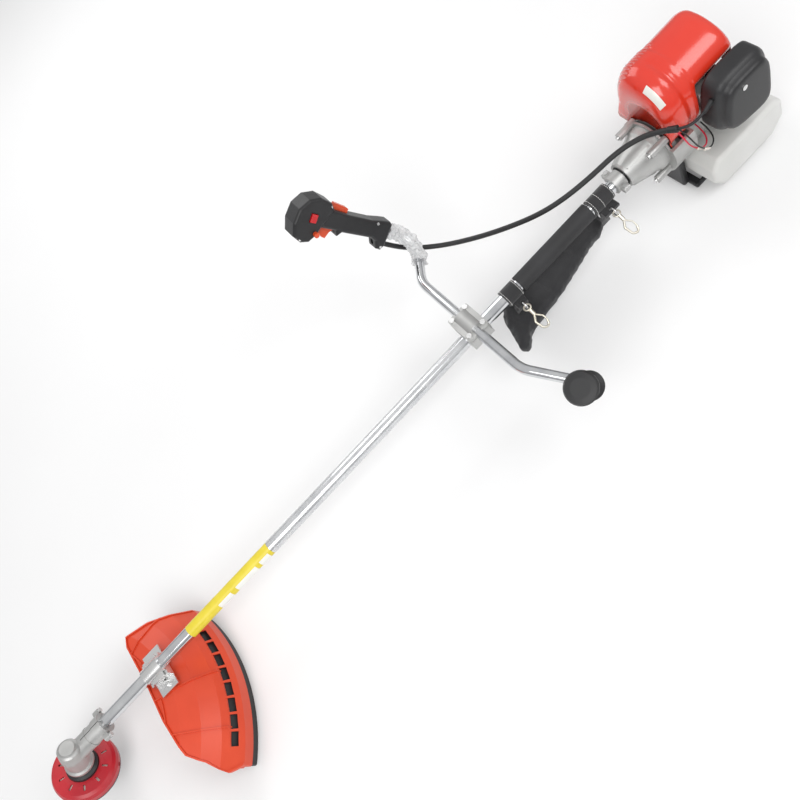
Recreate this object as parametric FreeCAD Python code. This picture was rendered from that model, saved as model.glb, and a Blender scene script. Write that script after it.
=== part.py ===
import FreeCAD, Part
import math
import os

V = FreeCAD.Vector
os.makedirs("parts", exist_ok=True)

# Row frame: +X from the cutting head to the engine, -Y the operator's left, +Z up.
# The origin is on the floor under the engine stand.
SHAFT_Z = 150.0
TUBE_R = 13.0
TUBE_BORE_R = 11.5
TUBE_FRONT = -1633.0
TUBE_REAR = -133.0
DRIVE_R = 4.0
RUN_FIT = 0.05

# Gear head
HEAD = V(-1675, 0, SHAFT_Z)
HEAD_TILT = math.radians(30)
OUT = V(-math.sin(HEAD_TILT), 0, -math.cos(HEAD_TILT))
OUT_SIDE = V(math.cos(HEAD_TILT), 0, -math.sin(HEAD_TILT))
NECK_MOUTH = -1583.0
GEAR_R = 14.0
PINION_R = 10.5
MESH_GAP = 0.2
HEAD_R = 65.0
HEAD_S = 56.0

# Guard, a dish about the vertical line through the head
GUARD_C = V(HEAD.x, 0, 0)
GUARD_T = 3.0
GUARD_RIM_R = 324.0

# Handlebar
BAR_R = 9.5
BAR_X = -563.0
BAR_Z = 181.0
BAR_BEND_Y = 141.0
BAR_KNEE = V(-500, 249, 158)
GRIP_DIR = V(-0.47, 0.145, 0.87).normalize()
TRIGGER_DIR = V(-0.882, -0.077, -0.463).normalize()
HANDLE_START = 76.0
RIGHT_LEG = 170.0
LEFT_LEG = 118.0
LEFT_DIR = V(-0.255, -0.303, 0.892).normalize()

# Engine
CYL_X = -20.0
CRANK_THROW = 14.0
PISTON_R = 16.95
CYL_BORE_R = 17.0
COVER_WALL = 3.0
CONE_MOUTH = -181.0
CASE_FRONT = -108.0

AX = V(1, 0, 0)
AY = V(0, 1, 0)
AZ = V(0, 0, 1)


def save(shape, name):
    shape.exportStep("parts/" + name + ".step")
    solids = len(shape.Solids)
    print(name, "valid", shape.isValid(), "solids", solids, "volume", round(shape.Volume))


def cyl(x, y, z, axis, radius, length):
    return Part.makeCylinder(radius, length, V(x, y, z), axis)


def on_shaft(x0, x1, radius):
    return cyl(x0, 0, SHAFT_Z, AX, radius, x1 - x0)


def box(x0, x1, y0, y1, z0, z1):
    return Part.makeBox(x1 - x0, y1 - y0, z1 - z0, V(x0, y0, z0))


def soft_box(x0, x1, y0, y1, z0, z1, radius):
    shape = box(x0, x1, y0, y1, z0, z1)
    return shape.makeFillet(radius, shape.Edges)


def prism(points, direction):
    wire = Part.makePolygon(points + [points[0]])
    return Part.Face(wire).extrude(direction)


def turned(profile, origin, axis, side):
    # profile: (distance along axis, radius) pairs
    points = [origin + axis * s + side * r for s, r in profile]
    wire = Part.makePolygon(points + [points[0]])
    return Part.Face(wire).revolve(origin, axis, 360)


def fuse(shapes):
    return shapes[0].multiFuse(shapes[1:]).removeSplitter()


def group(shapes):
    return Part.makeCompound(shapes)


def bent_wire(points, radii=None):
    # straight runs joined by tangent arcs; without radii each arc is as large as its runs allow
    edges = []
    start = points[0]
    used = []
    for k in range(1, len(points) - 1):
        corner = points[k]
        into = corner.sub(points[k - 1])
        away = points[k + 1].sub(corner)
        short = min(into.Length, away.Length)
        into.normalize()
        away.normalize()
        half = into.getAngle(away) / 2
        reach = 0.45 * short
        if radii:
            reach = radii[k - 1] * math.tan(half)
        radius = reach / math.tan(half)
        used.append(round(radius))
        first = corner - into * reach
        last = corner + away * reach
        inward = (away - into).normalize()
        middle = corner + inward * (radius / math.cos(half) - radius)
        edges.append(Part.LineSegment(start, first).toShape())
        edges.append(Part.Arc(first, middle, last).toShape())
        start = last
    edges.append(Part.LineSegment(start, points[-1]).toShape())
    return Part.Wire(edges), used


def rod_along(points, radius, radii=None, name=""):
    wire, used = bent_wire(points, radii)
    heading = points[1].sub(points[0])
    ring = Part.Wire(Part.Circle(points[0], heading, radius).toShape())
    shape = wire.makePipeShell([ring], True, False)
    if name:
        area = math.pi * radius * radius
        print(name, "length", round(wire.Length), "radii", used, "ratio", round(shape.Volume / (area * wire.Length), 3))
    return shape


# ---------------------------------------------------------------- shaft and drive

def main_tube():
    return on_shaft(TUBE_FRONT, TUBE_REAR, TUBE_R).cut(on_shaft(TUBE_FRONT - 1, TUBE_REAR + 1, TUBE_BORE_R))


def tube_bushings():
    rings = []
    for x in (-1560, -1240, -920, -600, -280):
        rings.append(on_shaft(x, x + 30, TUBE_BORE_R).cut(on_shaft(x - 1, x + 31, DRIVE_R + RUN_FIT)))
    rings.append(sleeve(CONE_MOUTH, CONE_MOUTH + 16, TUBE_R, 21))
    return group(rings)


def drive_shaft():
    return on_shaft(HEAD.x + 30, -126, DRIVE_R)


def clutch_drum():
    bell = on_shaft(-129, -102, 35).cut(on_shaft(-126, -101, 32.5))
    hub = on_shaft(-132.5, -129, 9)
    return fuse([bell, hub]).cut(on_shaft(-140, -126, DRIVE_R))


def bevel_pinion():
    profile = [(15.2, 0), (15.2, 7.1 - MESH_GAP), (22.2, PINION_R - MESH_GAP), (26, 8.5), (26, 6), (50, 6), (50, 0)]
    blank = turned(profile, HEAD, AX, AZ)
    return blank.cut(cyl(HEAD.x + 30, 0, SHAFT_Z, AX, DRIVE_R, 30))


def pinion_bearings():
    ring = cyl(HEAD.x + 28, 0, SHAFT_Z, AX, TUBE_R, 13)
    return ring.cut(cyl(HEAD.x + 27, 0, SHAFT_Z, AX, 6 + RUN_FIT, 15))


def gear_case():
    body = turned([(-40, 0), (-40, 14), (-36, 17), (-33, 21), (-10, 24), (12, 24), (28, 24), (32, 28), (38, 28), (38, 0)],
                  HEAD, OUT, OUT_SIDE)
    neck = cyl(HEAD.x + 2, 0, SHAFT_Z, AX, 20, NECK_MOUTH - HEAD.x - 2)
    collar = on_shaft(NECK_MOUTH - 20, NECK_MOUTH, 21.5)
    ring = on_shaft(NECK_MOUTH - 42, NECK_MOUTH - 38, 21)
    ears = box(NECK_MOUTH - 14, NECK_MOUTH - 2, -33, 33, SHAFT_Z - 6, SHAFT_Z + 6)
    ears = ears.makeFillet(5, [e for e in ears.Edges if abs(e.tangentAt(e.FirstParameter).x) > 0.9])
    casting = fuse([body, neck, collar, ring, ears])
    casting = casting.cut(on_shaft(TUBE_FRONT - 42, NECK_MOUTH + 1, TUBE_R).common(
        box(TUBE_FRONT - 14, NECK_MOUTH + 1, -20, 20, SHAFT_Z - 20, SHAFT_Z + 20)))
    casting = casting.cut(on_shaft(HEAD.x, TUBE_FRONT - 13, 12))
    gear_room = Part.makeCylinder(16, 39, HEAD + OUT * -25, OUT)
    upper_seat = Part.makeCylinder(13, 10, HEAD + OUT * -35, OUT)
    lower_seat = Part.makeCylinder(17, 13, HEAD + OUT * 14, OUT)
    mouth = Part.makeCylinder(10, 20, HEAD + OUT * 26, OUT)
    split = box(TUBE_FRONT, NECK_MOUTH + 1, -0.8, 0.8, SHAFT_Z + 10, SHAFT_Z + 30)
    casting = casting.cut(gear_room).cut(upper_seat).cut(lower_seat).cut(mouth).cut(split)
    for y in (-28, 28):
        casting = casting.cut(cyl(NECK_MOUTH - 15, y, SHAFT_Z, AX, 3, 14))
    return casting


def output_gear():
    profile = [(-20.2, GEAR_R - MESH_GAP), (-13.8, 9.4 - MESH_GAP), (-13.8, 6), (-24.2, 6), (-24.2, 11)]
    return turned(profile, HEAD, OUT, OUT_SIDE)


def output_shaft():
    profile = [(-34, 0), (-34, 6), (13, 6), (13, 7.5), (HEAD_S - 4, 7.5), (HEAD_S - 4, 5), (HEAD_S + 26, 5),
               (HEAD_S + 26, 0)]
    return turned(profile, HEAD, OUT, OUT_SIDE)


def output_bearings():
    upper = Part.makeCylinder(13, 9.5, HEAD + OUT * -35, OUT).cut(Part.makeCylinder(6 + RUN_FIT, 12, HEAD + OUT * -36, OUT))
    lower = Part.makeCylinder(17, 12, HEAD + OUT * 14.5, OUT).cut(Part.makeCylinder(7.5 + RUN_FIT, 14, HEAD + OUT * 14, OUT))
    return group([upper, lower])


def around_head(angle):
    return OUT_SIDE * math.cos(angle) + OUT.cross(OUT_SIDE) * math.sin(angle)


def shaft_cup():
    profile = [(39.5, 7.5), (39.5, 17), (46, 22), (50, 31), (HEAD_S, 32), (HEAD_S, 5), (HEAD_S - 4, 5), (HEAD_S - 4, 7.5)]
    return turned(profile, HEAD, OUT, OUT_SIDE)


def line_head_cover():
    s = HEAD_S
    profile = [(s, 5), (s, 40), (s + 2, 56), (s + 6, 62), (s + 14, HEAD_R), (s + 27, HEAD_R), (s + 27, HEAD_R - 3),
               (s + 15, HEAD_R - 3), (s + 8, 58), (s + 5, 52), (s + 4, 20), (s + 4, 5)]
    shell = turned(profile, HEAD, OUT, OUT_SIDE)
    for k in range(10):
        out = around_head(math.radians(36 * k))
        across = OUT.cross(out)
        start = HEAD + OUT * (s - 1) + out * 38 - across * 2
        slot = prism([start, start + out * 11, start + out * 11 + across * 4, start + across * 4], OUT * 12)
        shell = shell.cut(slot)
    for angle in (0.5, 0.5 + math.pi):
        out = around_head(angle)
        shell = shell.cut(Part.makeCylinder(4.5, 20, HEAD + OUT * (s + 20) + out * 52, out))
    return shell


def line_spool():
    s = HEAD_S + 5.5
    profile = [(s, 5), (s, 48), (s + 2, 48), (s + 2, 22), (s + 18, 22), (s + 18, 55), (s + 20, 55), (s + 20, 5)]
    return turned(profile, HEAD, OUT, OUT_SIDE)


def line_head_base():
    s = HEAD_S + 27
    profile = [(s, HEAD_R), (s + 4, HEAD_R), (s + 10, 56), (s + 12, 30), (s + 12, 26), (s, 26)]
    return turned(profile, HEAD, OUT, OUT_SIDE)


def bump_knob():
    s = HEAD_S + 27
    profile = [(s, 0), (s, 25.5), (s + 15, 25.5), (s + 20, 20), (s + 22, 10), (s + 22, 0)]
    return turned(profile, HEAD, OUT, OUT_SIDE)


# ---------------------------------------------------------------- guard

GUARD_TOP = [(170, 131), (235, 127), (272, 112), (300, 88), (GUARD_RIM_R, 48), (GUARD_RIM_R, 22)]


def dish(outer, thick):
    inner = [(r, z - thick) for r, z in outer[:-1]]
    inner[-1] = (outer[-2][0] - thick, outer[-2][1] - 2)
    inner.append((outer[-1][0] - thick, outer[-1][1]))
    points = [GUARD_C + V(r, 0, z) for r, z in outer + inner[::-1]]
    face = Part.Face(Part.makePolygon(points + [points[0]]))
    face.rotate(GUARD_C, AZ, -70)
    return face.revolve(GUARD_C, AZ, 140)


def guard_plan(margin=0.0):
    corners = [(-1484 + margin, 96), (-1476, 116 - margin), (-1430, 113 - margin), (-1360, 96 - margin),
               (-1300, 80 - margin), (-1280, -222 + margin), (-1458, -222 + margin), (-1468 + margin, -190),
               (-1486 + margin, -160), (-1489 + margin, -80), (-1483 + margin, 0)]
    return prism([V(x, y, -20) for x, y in corners], AZ * 200)


def guard_ribs():
    raised = dish([(r + 1.5, z + 3.0) for r, z in GUARD_TOP[:-2]] + [(312, 74), (312, 66)], 5.0)
    blades = []
    for angle in (-31, -11, 22):
        strip = box(HEAD.x + 182, HEAD.x + 318, -1.3, 1.3, 20, 160)
        strip.rotate(GUARD_C, AZ, angle)
        blades.append(strip)
    hoop = cyl(HEAD.x, 0, 20, AZ, 208.5, 140).cut(cyl(HEAD.x, 0, 19, AZ, 206, 142))
    keep = box(HEAD.x + 100, -1300, -260, -44, 0, 160).fuse(box(HEAD.x + 100, -1300, 44, 200, 0, 160))
    blades.append(hoop.common(keep))
    return [raised.common(b) for b in blades]


def guard():
    shell = dish(GUARD_TOP, GUARD_T)
    shape = fuse([shell] + guard_ribs())
    edge = dish([(r, z + 3.5) for r, z in GUARD_TOP[:-1]] + [(GUARD_RIM_R, 40)], 6.0)
    border = edge.common(guard_plan()).cut(guard_plan(3.0))
    shape = fuse([shape.common(guard_plan()), border])
    for k in range(9):
        slot = box(HEAD.x + 308, HEAD.x + 317, -13, 13, 40, 120)
        slot.rotate(GUARD_C, AZ, -35 + 5.6 * k)
        shape = shape.cut(slot)
    for y in (-32, 32):
        shape = shape.cut(cyl(-1443, y, 100, AZ, 3.2, 60))
    return shape


def guard_skirt():
    profile = [(290, 92.5), (318.5, 47), (319.5, 22), (319.5, 0), (316.5, 0), (316.5, 22), (315.5, 44), (287, 90)]
    points = [GUARD_C + V(r, 0, z) for r, z in profile]
    face = Part.Face(Part.makePolygon(points + [points[0]]))
    face.rotate(GUARD_C, AZ, -46)
    return face.revolve(GUARD_C, AZ, 66).common(guard_plan(3.2))


def guard_bracket():
    saddle = on_shaft(-1464, -1422, 17).cut(on_shaft(-1470, -1420, TUBE_R))
    lower = saddle.common(box(-1470, -1420, -20, 20, 120, 149.4))
    upper = saddle.common(box(-1470, -1420, -20, 20, 150.6, 180))
    plate = box(-1464, -1422, -47, 47, 131.2, 134.2).cut(on_shaft(-1470, -1420, 15))
    wing = box(-1464, -1422, -25, 25, 134.2, 149.4).cut(on_shaft(-1470, -1420, 16))
    strap = box(-1458, -1428, -25, 25, 150.6, 153.6).cut(on_shaft(-1470, -1420, 15))
    base = fuse([lower, plate, wing])
    top = fuse([upper, strap])
    for y in (-32, 32):
        base = base.cut(cyl(-1443, y, 120, AZ, 3.2, 20))
    return group([base, top])


# ---------------------------------------------------------------- tube fittings

def sleeve(x0, x1, inner, outer):
    return on_shaft(x0, x1, outer).cut(on_shaft(x0 - 1, x1 + 1, inner))


def foam_sleeve():
    return sleeve(-448, -267, TUBE_R, 17.5)


def harness_bands():
    bands = []
    for x0, x1 in ((-486, -452), (-262, -216)):
        band = sleeve(x0, x1, TUBE_R, 17.0)
        tab = box(x0 + 6, x1 - 6, -31, -12, SHAFT_Z - 14, SHAFT_Z - 7).cut(on_shaft(x0 - 1, x1 + 1, TUBE_R))
        bands.append(fuse([band, tab]).cut(cyl((x0 + x1) / 2, -25.5, SHAFT_Z - 20, AZ, 3.6, 20)))
    return group(bands)


def ring_at(x, y, z, axis, major, minor):
    return Part.makeTorus(major, minor, V(x, y, z), axis)


def harness_rings():
    return group([ring_at(x, -34, SHAFT_Z - 10.5, AX, 8.5, 1.6) for x in (-469, -239)])


def snap_hook(x):
    eye = ring_at(x, -40.0, SHAFT_Z - 10.5, AZ, 6.5, 1.7)
    neck = cyl(x, -46.4, SHAFT_Z - 10.9, V(0, -0.8, -0.6), 3.6, 12)
    loop_points = [V(x, -55.4, SHAFT_Z - 17.5), V(x - 9, -65.4, SHAFT_Z - 25), V(x - 6, -79.4, SHAFT_Z - 35.5),
                   V(x + 4, -83.4, SHAFT_Z - 38.5), V(x + 9, -75.4, SHAFT_Z - 32.5)]
    hook = rod_along(loop_points, 2.2, [5, 7, 5])
    gate_points = [V(x + 9, -75.4, SHAFT_Z - 32.5), V(x + 9, -66.4, SHAFT_Z - 25.7), V(x, -56.4, SHAFT_Z - 18.3)]
    gate = rod_along(gate_points, 1.5, [5])
    return fuse([eye, neck, hook, gate])


PAD_LOW = 74.0
PAD_T = 26.0


def harness_pad():
    # folded pad under the tube, with webbing up to the two bands
    outline = [(-545, -64), (-534, -78), (-500, -64), (-442, -56), (-397, -50), (-330, -34), (-262, -16),
               (-236, 2), (-234, 40), (-250, 60), (-300, 58), (-400, 56), (-491, 50), (-522, 8)]
    slab = prism([V(x, y, PAD_LOW) for x, y in outline], AZ * PAD_T)
    slab = slab.makeFillet(8, slab.Edges)
    front = box(-484, -454, -13, 13, PAD_LOW + 10, SHAFT_Z - 14).cut(on_shaft(-490, -450, 17.0))
    rear = box(-258, -240, -10, 13, PAD_LOW + 10, SHAFT_Z - 14).cut(on_shaft(-262, -230, 17.0))
    return fuse([slab, front, rear])


# ---------------------------------------------------------------- handlebar

def bar_points():
    knee, heading = left_frame()
    right = [BAR_KNEE + GRIP_DIR * RIGHT_LEG, V(BAR_KNEE), V(BAR_X, BAR_BEND_Y, BAR_Z)]
    return right + [V(BAR_X, -BAR_BEND_Y, BAR_Z), knee, knee + heading * LEFT_LEG]


def handlebar():
    return rod_along(bar_points(), BAR_R, [45, 60, 60, 45], "handlebar")


def bracket_base():
    saddle = sleeve(BAR_X - 24, BAR_X + 24, TUBE_R, 18)
    block = box(BAR_X - 24, BAR_X + 24, -33, 33, 163, BAR_Z - 0.6)
    block = block.makeFillet(5, [e for e in block.Edges if abs(e.tangentAt(e.FirstParameter).z) > 0.9])
    strap = box(BAR_X - 24, BAR_X + 24, -28, 28, SHAFT_Z - 4, SHAFT_Z + 14)
    shape = fuse([saddle, block, strap]).cut(on_shaft(BAR_X - 30, BAR_X + 30, TUBE_R))
    shape = shape.cut(cyl(BAR_X, -40, BAR_Z, AY, BAR_R, 80))
    for dx in (-17, 17):
        for y in (-25, 25):
            shape = shape.cut(cyl(BAR_X + dx, y, 150, AZ, 2.5, 60))
    return shape


def bracket_cap():
    arch = cyl(BAR_X, -22, BAR_Z, AY, 16, 44)
    feet = box(BAR_X - 24, BAR_X + 24, -33, 33, BAR_Z + 0.6, BAR_Z + 7)
    feet = feet.makeFillet(5, [e for e in feet.Edges if abs(e.tangentAt(e.FirstParameter).z) > 0.9])
    shape = fuse([arch, feet]).cut(cyl(BAR_X, -40, BAR_Z, AY, BAR_R, 80))
    shape = shape.cut(box(BAR_X - 30, BAR_X + 30, -40, 40, BAR_Z - 30, BAR_Z + 0.6))
    for dx in (-17, 17):
        for y in (-25, 25):
            shape = shape.cut(cyl(BAR_X + dx, y, 150, AZ, 2.5, 60))
    return shape


def bracket_bolts():
    bolts = []
    for dx in (-17, 17):
        for y in (-25, 25):
            head = cyl(BAR_X + dx, y, BAR_Z + 7, AZ, 5, 5)
            shank = cyl(BAR_X + dx, y, BAR_Z - 16, AZ, 2.5, 23)
            bolts.append(fuse([head, shank]))
    return bolts


def left_frame():
    return V(BAR_KNEE.x, -BAR_KNEE.y, BAR_KNEE.z), LEFT_DIR


def left_grip():
    knee, heading = left_frame()
    side = heading.cross(AY).normalize()
    profile = [(50, BAR_R), (50, 24), (54, 25), (58, 18), (80, 17), (102, 18), (110, 21), (115, 27), (123, 28),
               (128, 25), (129, 16), (129, 0), (LEFT_LEG, 0), (LEFT_LEG, BAR_R)]
    return turned(profile, knee, heading, side)


def bar_film():
    points = [BAR_KNEE + GRIP_DIR * (HANDLE_START - 2), V(BAR_KNEE), V(BAR_X, BAR_BEND_Y, BAR_Z)]
    run = points[2].sub(points[1]).normalize()
    points[2] = points[1] + run * 76
    return rod_along(points, 15.0, [45]).cut(handlebar_solid)


# ---------------------------------------------------------------- throttle handle

SIDE_DIR = TRIGGER_DIR.cross(GRIP_DIR).normalize()


def at(g, t, s=0.0):
    return BAR_KNEE + GRIP_DIR * g + TRIGGER_DIR * t + SIDE_DIR * s


def plate(profile, s0, s1):
    return prism([at(g, t, s0) for g, t in profile], SIDE_DIR * (s1 - s0))


GRIP_PROFILE = [(76, -17), (82, -21), (96, -20), (120, -17), (170, -17), (206, -20), (226, -22), (226, 17),
                (192, 17), (186, 27), (178, 18), (112, 17), (100, 22), (92, 36), (82, 37), (76, 26)]
HEAD_PROFILE = [(212, -22), (222, -33), (246, -38), (268, -30), (282, -10), (284, 18), (276, 42), (258, 50),
                (242, 46), (231, 30), (226, 12)]


def handle_solid():
    grip = plate(GRIP_PROFILE, -18, 18)
    grip = grip.makeFillet(7, [e for e in grip.Edges if abs(e.tangentAt(e.FirstParameter).dot(SIDE_DIR)) < 0.1])
    head = plate(HEAD_PROFILE, -22, 22)
    head = head.makeFillet(6, [e for e in head.Edges if abs(e.tangentAt(e.FirstParameter).dot(SIDE_DIR)) < 0.1])
    return fuse([grip, head])


def handle_rooms():
    bore = Part.makeCylinder(BAR_R, RIGHT_LEG - 70, at(70, 0), GRIP_DIR)
    head_room = plate([(226, -18), (246, -30), (264, -22), (276, -6), (276, 16), (268, 34), (254, 42), (246, 34),
                       (236, 14), (226, 10)], -17, 17)
    trigger_room = plate([(188, 3), (246, 3), (246, 26), (238, 30), (230, 26), (188, 26)], -8, 8)
    lock_room = plate([(172, -24), (172, -3), (226, -3), (226, -32), (212, -32)], -6, 6)
    return fuse([bore, head_room, trigger_room, lock_room])


def half(side):
    cutter = plate([(40, -80), (320, -80), (320, 80), (40, 80)], 0.05 if side > 0 else -60, 60 if side > 0 else -0.05)
    return cutter


def throttle_shells():
    whole = handle_solid()
    whole = whole.cut(handle_rooms())
    gland = Part.makeCylinder(5.2, 30, at(70, 27, 0), GRIP_DIR)
    whole = whole.cut(gland)
    outer = whole.common(half(1))
    inner = whole.common(half(-1))
    inner = inner.cut(plate([(243, -9), (257, -9), (257, 9), (243, 9)], -30, -15))
    inner = inner.cut(Part.makeCylinder(5.2, 12, at(236, 28, -28), SIDE_DIR))
    return inner, outer


def throttle_trigger():
    profile = [(194, 18.5), (200, 24), (205, 37), (212, 36), (220, 30), (228.5, 31), (228.5, 20), (236, 17), (240, 12.5),
               (196, 12.5)]
    lever = plate(profile, -6.5, 6.5)
    pin = Part.makeCylinder(2.0, 15, at(236, 15, -7.5), SIDE_DIR)
    return fuse([lever, pin])


def throttle_lock():
    profile = [(176, -12), (176, -25), (180, -27), (208, -31), (211, -22), (220, -14), (220, -12)]
    lever = plate(profile, -5, 5)
    pin = Part.makeCylinder(1.8, 11, at(216, -14.2, -5.5), SIDE_DIR)
    return fuse([lever, pin])


def stop_switch():
    rocker = plate([(244, -8), (256, -8), (256, 8), (244, 8)], -24.5, -16)
    return rocker.fuse(Part.makeCylinder(1.5, 12.6, at(243.7, 0, -19.5), GRIP_DIR)).removeSplitter()


def start_button():
    return Part.makeCylinder(4.9, 10, at(236, 28, -29), SIDE_DIR)


def handle_screws():
    screws = []
    for g, t, depth in ((86, 30, -16.5), (110, -13.5, -17), (262, 44, -20), (222, -26, -20)):
        screws.append(Part.makeCylinder(2.6, 2.4, at(g, t, depth - 1.6), SIDE_DIR))
    return screws


# ---------------------------------------------------------------- cables

CONDUIT_R = 5.0


def conduit_points():
    start = at(76, 27)
    return [start, at(36, 29), V(-514, 239, 142), V(-474, 203, 130), V(-426, 156, 134), V(-378, 108, 148),
            V(-326, 62, 166), V(-278, 35, 181), V(-226, 19, 192), V(-172, 8, 202), V(-137, -10, 211),
            V(-112, -34, 220), V(-95, -66, 229)]


def throttle_conduit():
    return rod_along(conduit_points(), CONDUIT_R, None, "throttle_conduit")


def throttle_cable():
    start = conduit_points()[-1]
    points = [start, V(-87, -80, 233), V(-71, -88, 236), V(-51, -87, 237), V(-30.5, -82, 236)]
    return rod_along(points, 2.6, None, "throttle_cable")


def engine_leads():
    start = conduit_points()[-1]
    red = [start + V(-2, 0, -3), V(-95, -78, 212), V(-91, -82, 192), V(-82, -82, 172), V(-70, -81, 154),
           V(-55, -79, 142), V(-41, -68, 139), V(-36, -53, 145), V(-36, -38, 152)]
    black = [start + V(3, 0, -3), V(-89, -84, 212), V(-84, -89, 190), V(-75, -90, 168), V(-62, -88, 148),
             V(-46, -84, 134), V(-30, -72, 130), V(-24, -55, 136), V(-24, -38, 144)]
    return group([rod_along(red, 1.4, None, "red lead"), rod_along(black, 1.4, None, "black lead")])


# ---------------------------------------------------------------- engine

def clutch_housing():
    outer = [(CONE_MOUTH, 0), (CONE_MOUTH, 26), (-176, 26), (-128, 42), (-122, 46), (CASE_FRONT, 47), (CASE_FRONT, 0)]
    shape = turned([(x, r) for x, r in outer], V(0, 0, SHAFT_Z), AX, AZ)
    parts = [shape]
    for y in (-37, 37):
        for dz in (-37, 37):
            parts.append(cyl(-140, y, SHAFT_Z + dz, AX, 7.5, CASE_FRONT + 140))
    for angle in (30, 150, 270):
        web = box(-174, -124, -2, 2, SHAFT_Z + 20, SHAFT_Z + 45)
        web = web.cut(prism([V(-175, -5, SHAFT_Z + 31), V(-120, -5, SHAFT_Z + 48.5), V(-120, -5, SHAFT_Z + 60),
                             V(-175, -5, SHAFT_Z + 60)], AY * 10))
        web.rotate(V(0, 0, SHAFT_Z), AX, angle)
        parts.append(web)
    shape = fuse(parts)
    shape = shape.cut(on_shaft(CONE_MOUTH - 1, -164, 21)).cut(on_shaft(-165, -132, TUBE_R))
    return shape.cut(on_shaft(-133, CASE_FRONT + 1, 38))


def tube_collar():
    ring = sleeve(-206, -184, TUBE_R, 18.5)
    ears = box(-202, -188, -30, 30, SHAFT_Z - 5, SHAFT_Z + 5).cut(on_shaft(-210, -180, TUBE_R))
    ears = ears.makeFillet(3, [e for e in ears.Edges if abs(e.tangentAt(e.FirstParameter).x) > 0.9][:4])
    return fuse([ring, ears]).cut(box(-207, -183, -0.8, 0.8, SHAFT_Z - 25, SHAFT_Z - 12))


def clutch_shoes():
    ring = sleeve(-122, -106, 14, 31.5)
    ring = ring.cut(box(-123, -105, -2, 2, SHAFT_Z - 40, SHAFT_Z + 40))
    carrier = sleeve(-120, -108, 6, 14)
    return group(ring.Solids + [carrier])


def crankshaft():
    webs = []
    for x in (-35, -13):
        webs.append(on_shaft(x, x + 8, 24))
    pin = cyl(-30, 0, SHAFT_Z + CRANK_THROW, AX, 5, 20)
    front = on_shaft(-124, -27, 6)
    rear = on_shaft(-13, 30, 6)
    return fuse(webs + [pin, front, rear])


def flywheel():
    disc = on_shaft(-98, -88, 50)
    fins = []
    for k in range(12):
        fin = box(-88, -72, -1.5, 1.5, SHAFT_Z + 26, SHAFT_Z + 49)
        fin.rotate(V(0, 0, SHAFT_Z), AX, 30 * k)
        fins.append(fin)
    hub = on_shaft(-98, -66, 14)
    return fuse([disc, hub] + fins).cut(on_shaft(-100, -60, 6))


def crankcase():
    bowl = on_shaft(CASE_FRONT, -56, 62).cut(on_shaft(CASE_FRONT + 4, -60, 56))
    bowl = bowl.cut(on_shaft(CASE_FRONT - 1, CASE_FRONT + 5, 40))
    bowl = bowl.cut(box(CASE_FRONT + 4, 0, -80, 80, SHAFT_Z + 22, SHAFT_Z + 100))
    bowl = bowl.cut(box(-120, 0, -80, 80, SHAFT_Z + 22, SHAFT_Z + 100).cut(on_shaft(-121, 1, 53)))
    block = box(-60, 14, -38, 38, 106, 190)
    block = block.makeFillet(9, [e for e in block.Edges if abs(e.tangentAt(e.FirstParameter).x) > 0.9])
    parts = [bowl, block]
    for y in (-37, 37):
        for dz, length in ((-37, 22), (37, 8)):
            parts.append(cyl(CASE_FRONT, y, SHAFT_Z + dz, AX, 7.5, length))
    case = fuse(parts)
    case = case.cut(on_shaft(-38, 0, 27)).cut(on_shaft(-61, 15, 6 + RUN_FIT))
    case = case.cut(cyl(CYL_X, 0, SHAFT_Z, AZ, 17.2, 50))
    case = case.cut(on_shaft(-100, -66, 52))
    case = case.cut(on_shaft(-70, -60, 16))
    for y in (-37, 37):
        for dz in (-37, 37):
            case = case.cut(cyl(CASE_FRONT - 1, y, SHAFT_Z + dz, AX, 2.5, 7))
    return case


def cylinder():
    wall = cyl(CYL_X, 0, 190, AZ, 21, 84)
    parts = [wall, cyl(CYL_X, 0, 266, AZ, 24, 10)]
    for k in range(11):
        fin = box(CYL_X - 31, CYL_X + 31, -29, 29, 202 + 6.4 * k, 203.8 + 6.4 * k)
        parts.append(fin)
    parts.append(box(CYL_X - 24, CYL_X + 24, -24, 24, 190, 195))
    parts.append(box(CYL_X - 13, CYL_X + 13, -33, -15, 201, 226))
    parts.append(box(CYL_X - 15, CYL_X + 15, 15, 36, 206, 232))
    shape = fuse(parts)
    shape = shape.cut(cyl(CYL_X, 0, 180, AZ, CYL_BORE_R, 84))
    shape = shape.cut(cyl(CYL_X, -34, 214, AY, 6.5, 20))
    return shape.cut(cyl(CYL_X, 16, 219, AY, 8, 24))


def piston():
    crown = cyl(CYL_X, 0, 197, AZ, PISTON_R, 30)
    return crown.cut(cyl(CYL_X, 0, 196, AZ, PISTON_R - 2.5, 26))


def spark_plug():
    body = cyl(CYL_X, 0, 276, AZ, 8, 4)
    cap = soft_box(CYL_X - 8, CYL_X + 24, -6, 8, 280, 289, 3)
    return fuse([body, cap])


def cover_block(inset):
    profile = [(-44, 172), (-56, 198), (-58, 225), (-50, 254), (-30, 284), (0, 299), (34, 300), (62, 286), (80, 250), (84, 205),
               (78, 172)]
    front = prism([V(-99 + inset, y, z) for y, z in profile], AX * (74 - inset))
    tail = prism([V(-40, y, z) for y, z in [(-20, 196), (-24, 240), (-14, 288), (4, 298), (34, 298), (60, 284),
                                            (76, 248), (80, 205), (74, 196)]], AX * (104 - inset))
    return fuse([front, tail])


def shrink(shape, thick):
    return shape.makeOffsetShape(-thick, 0.01, join=2)


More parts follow.
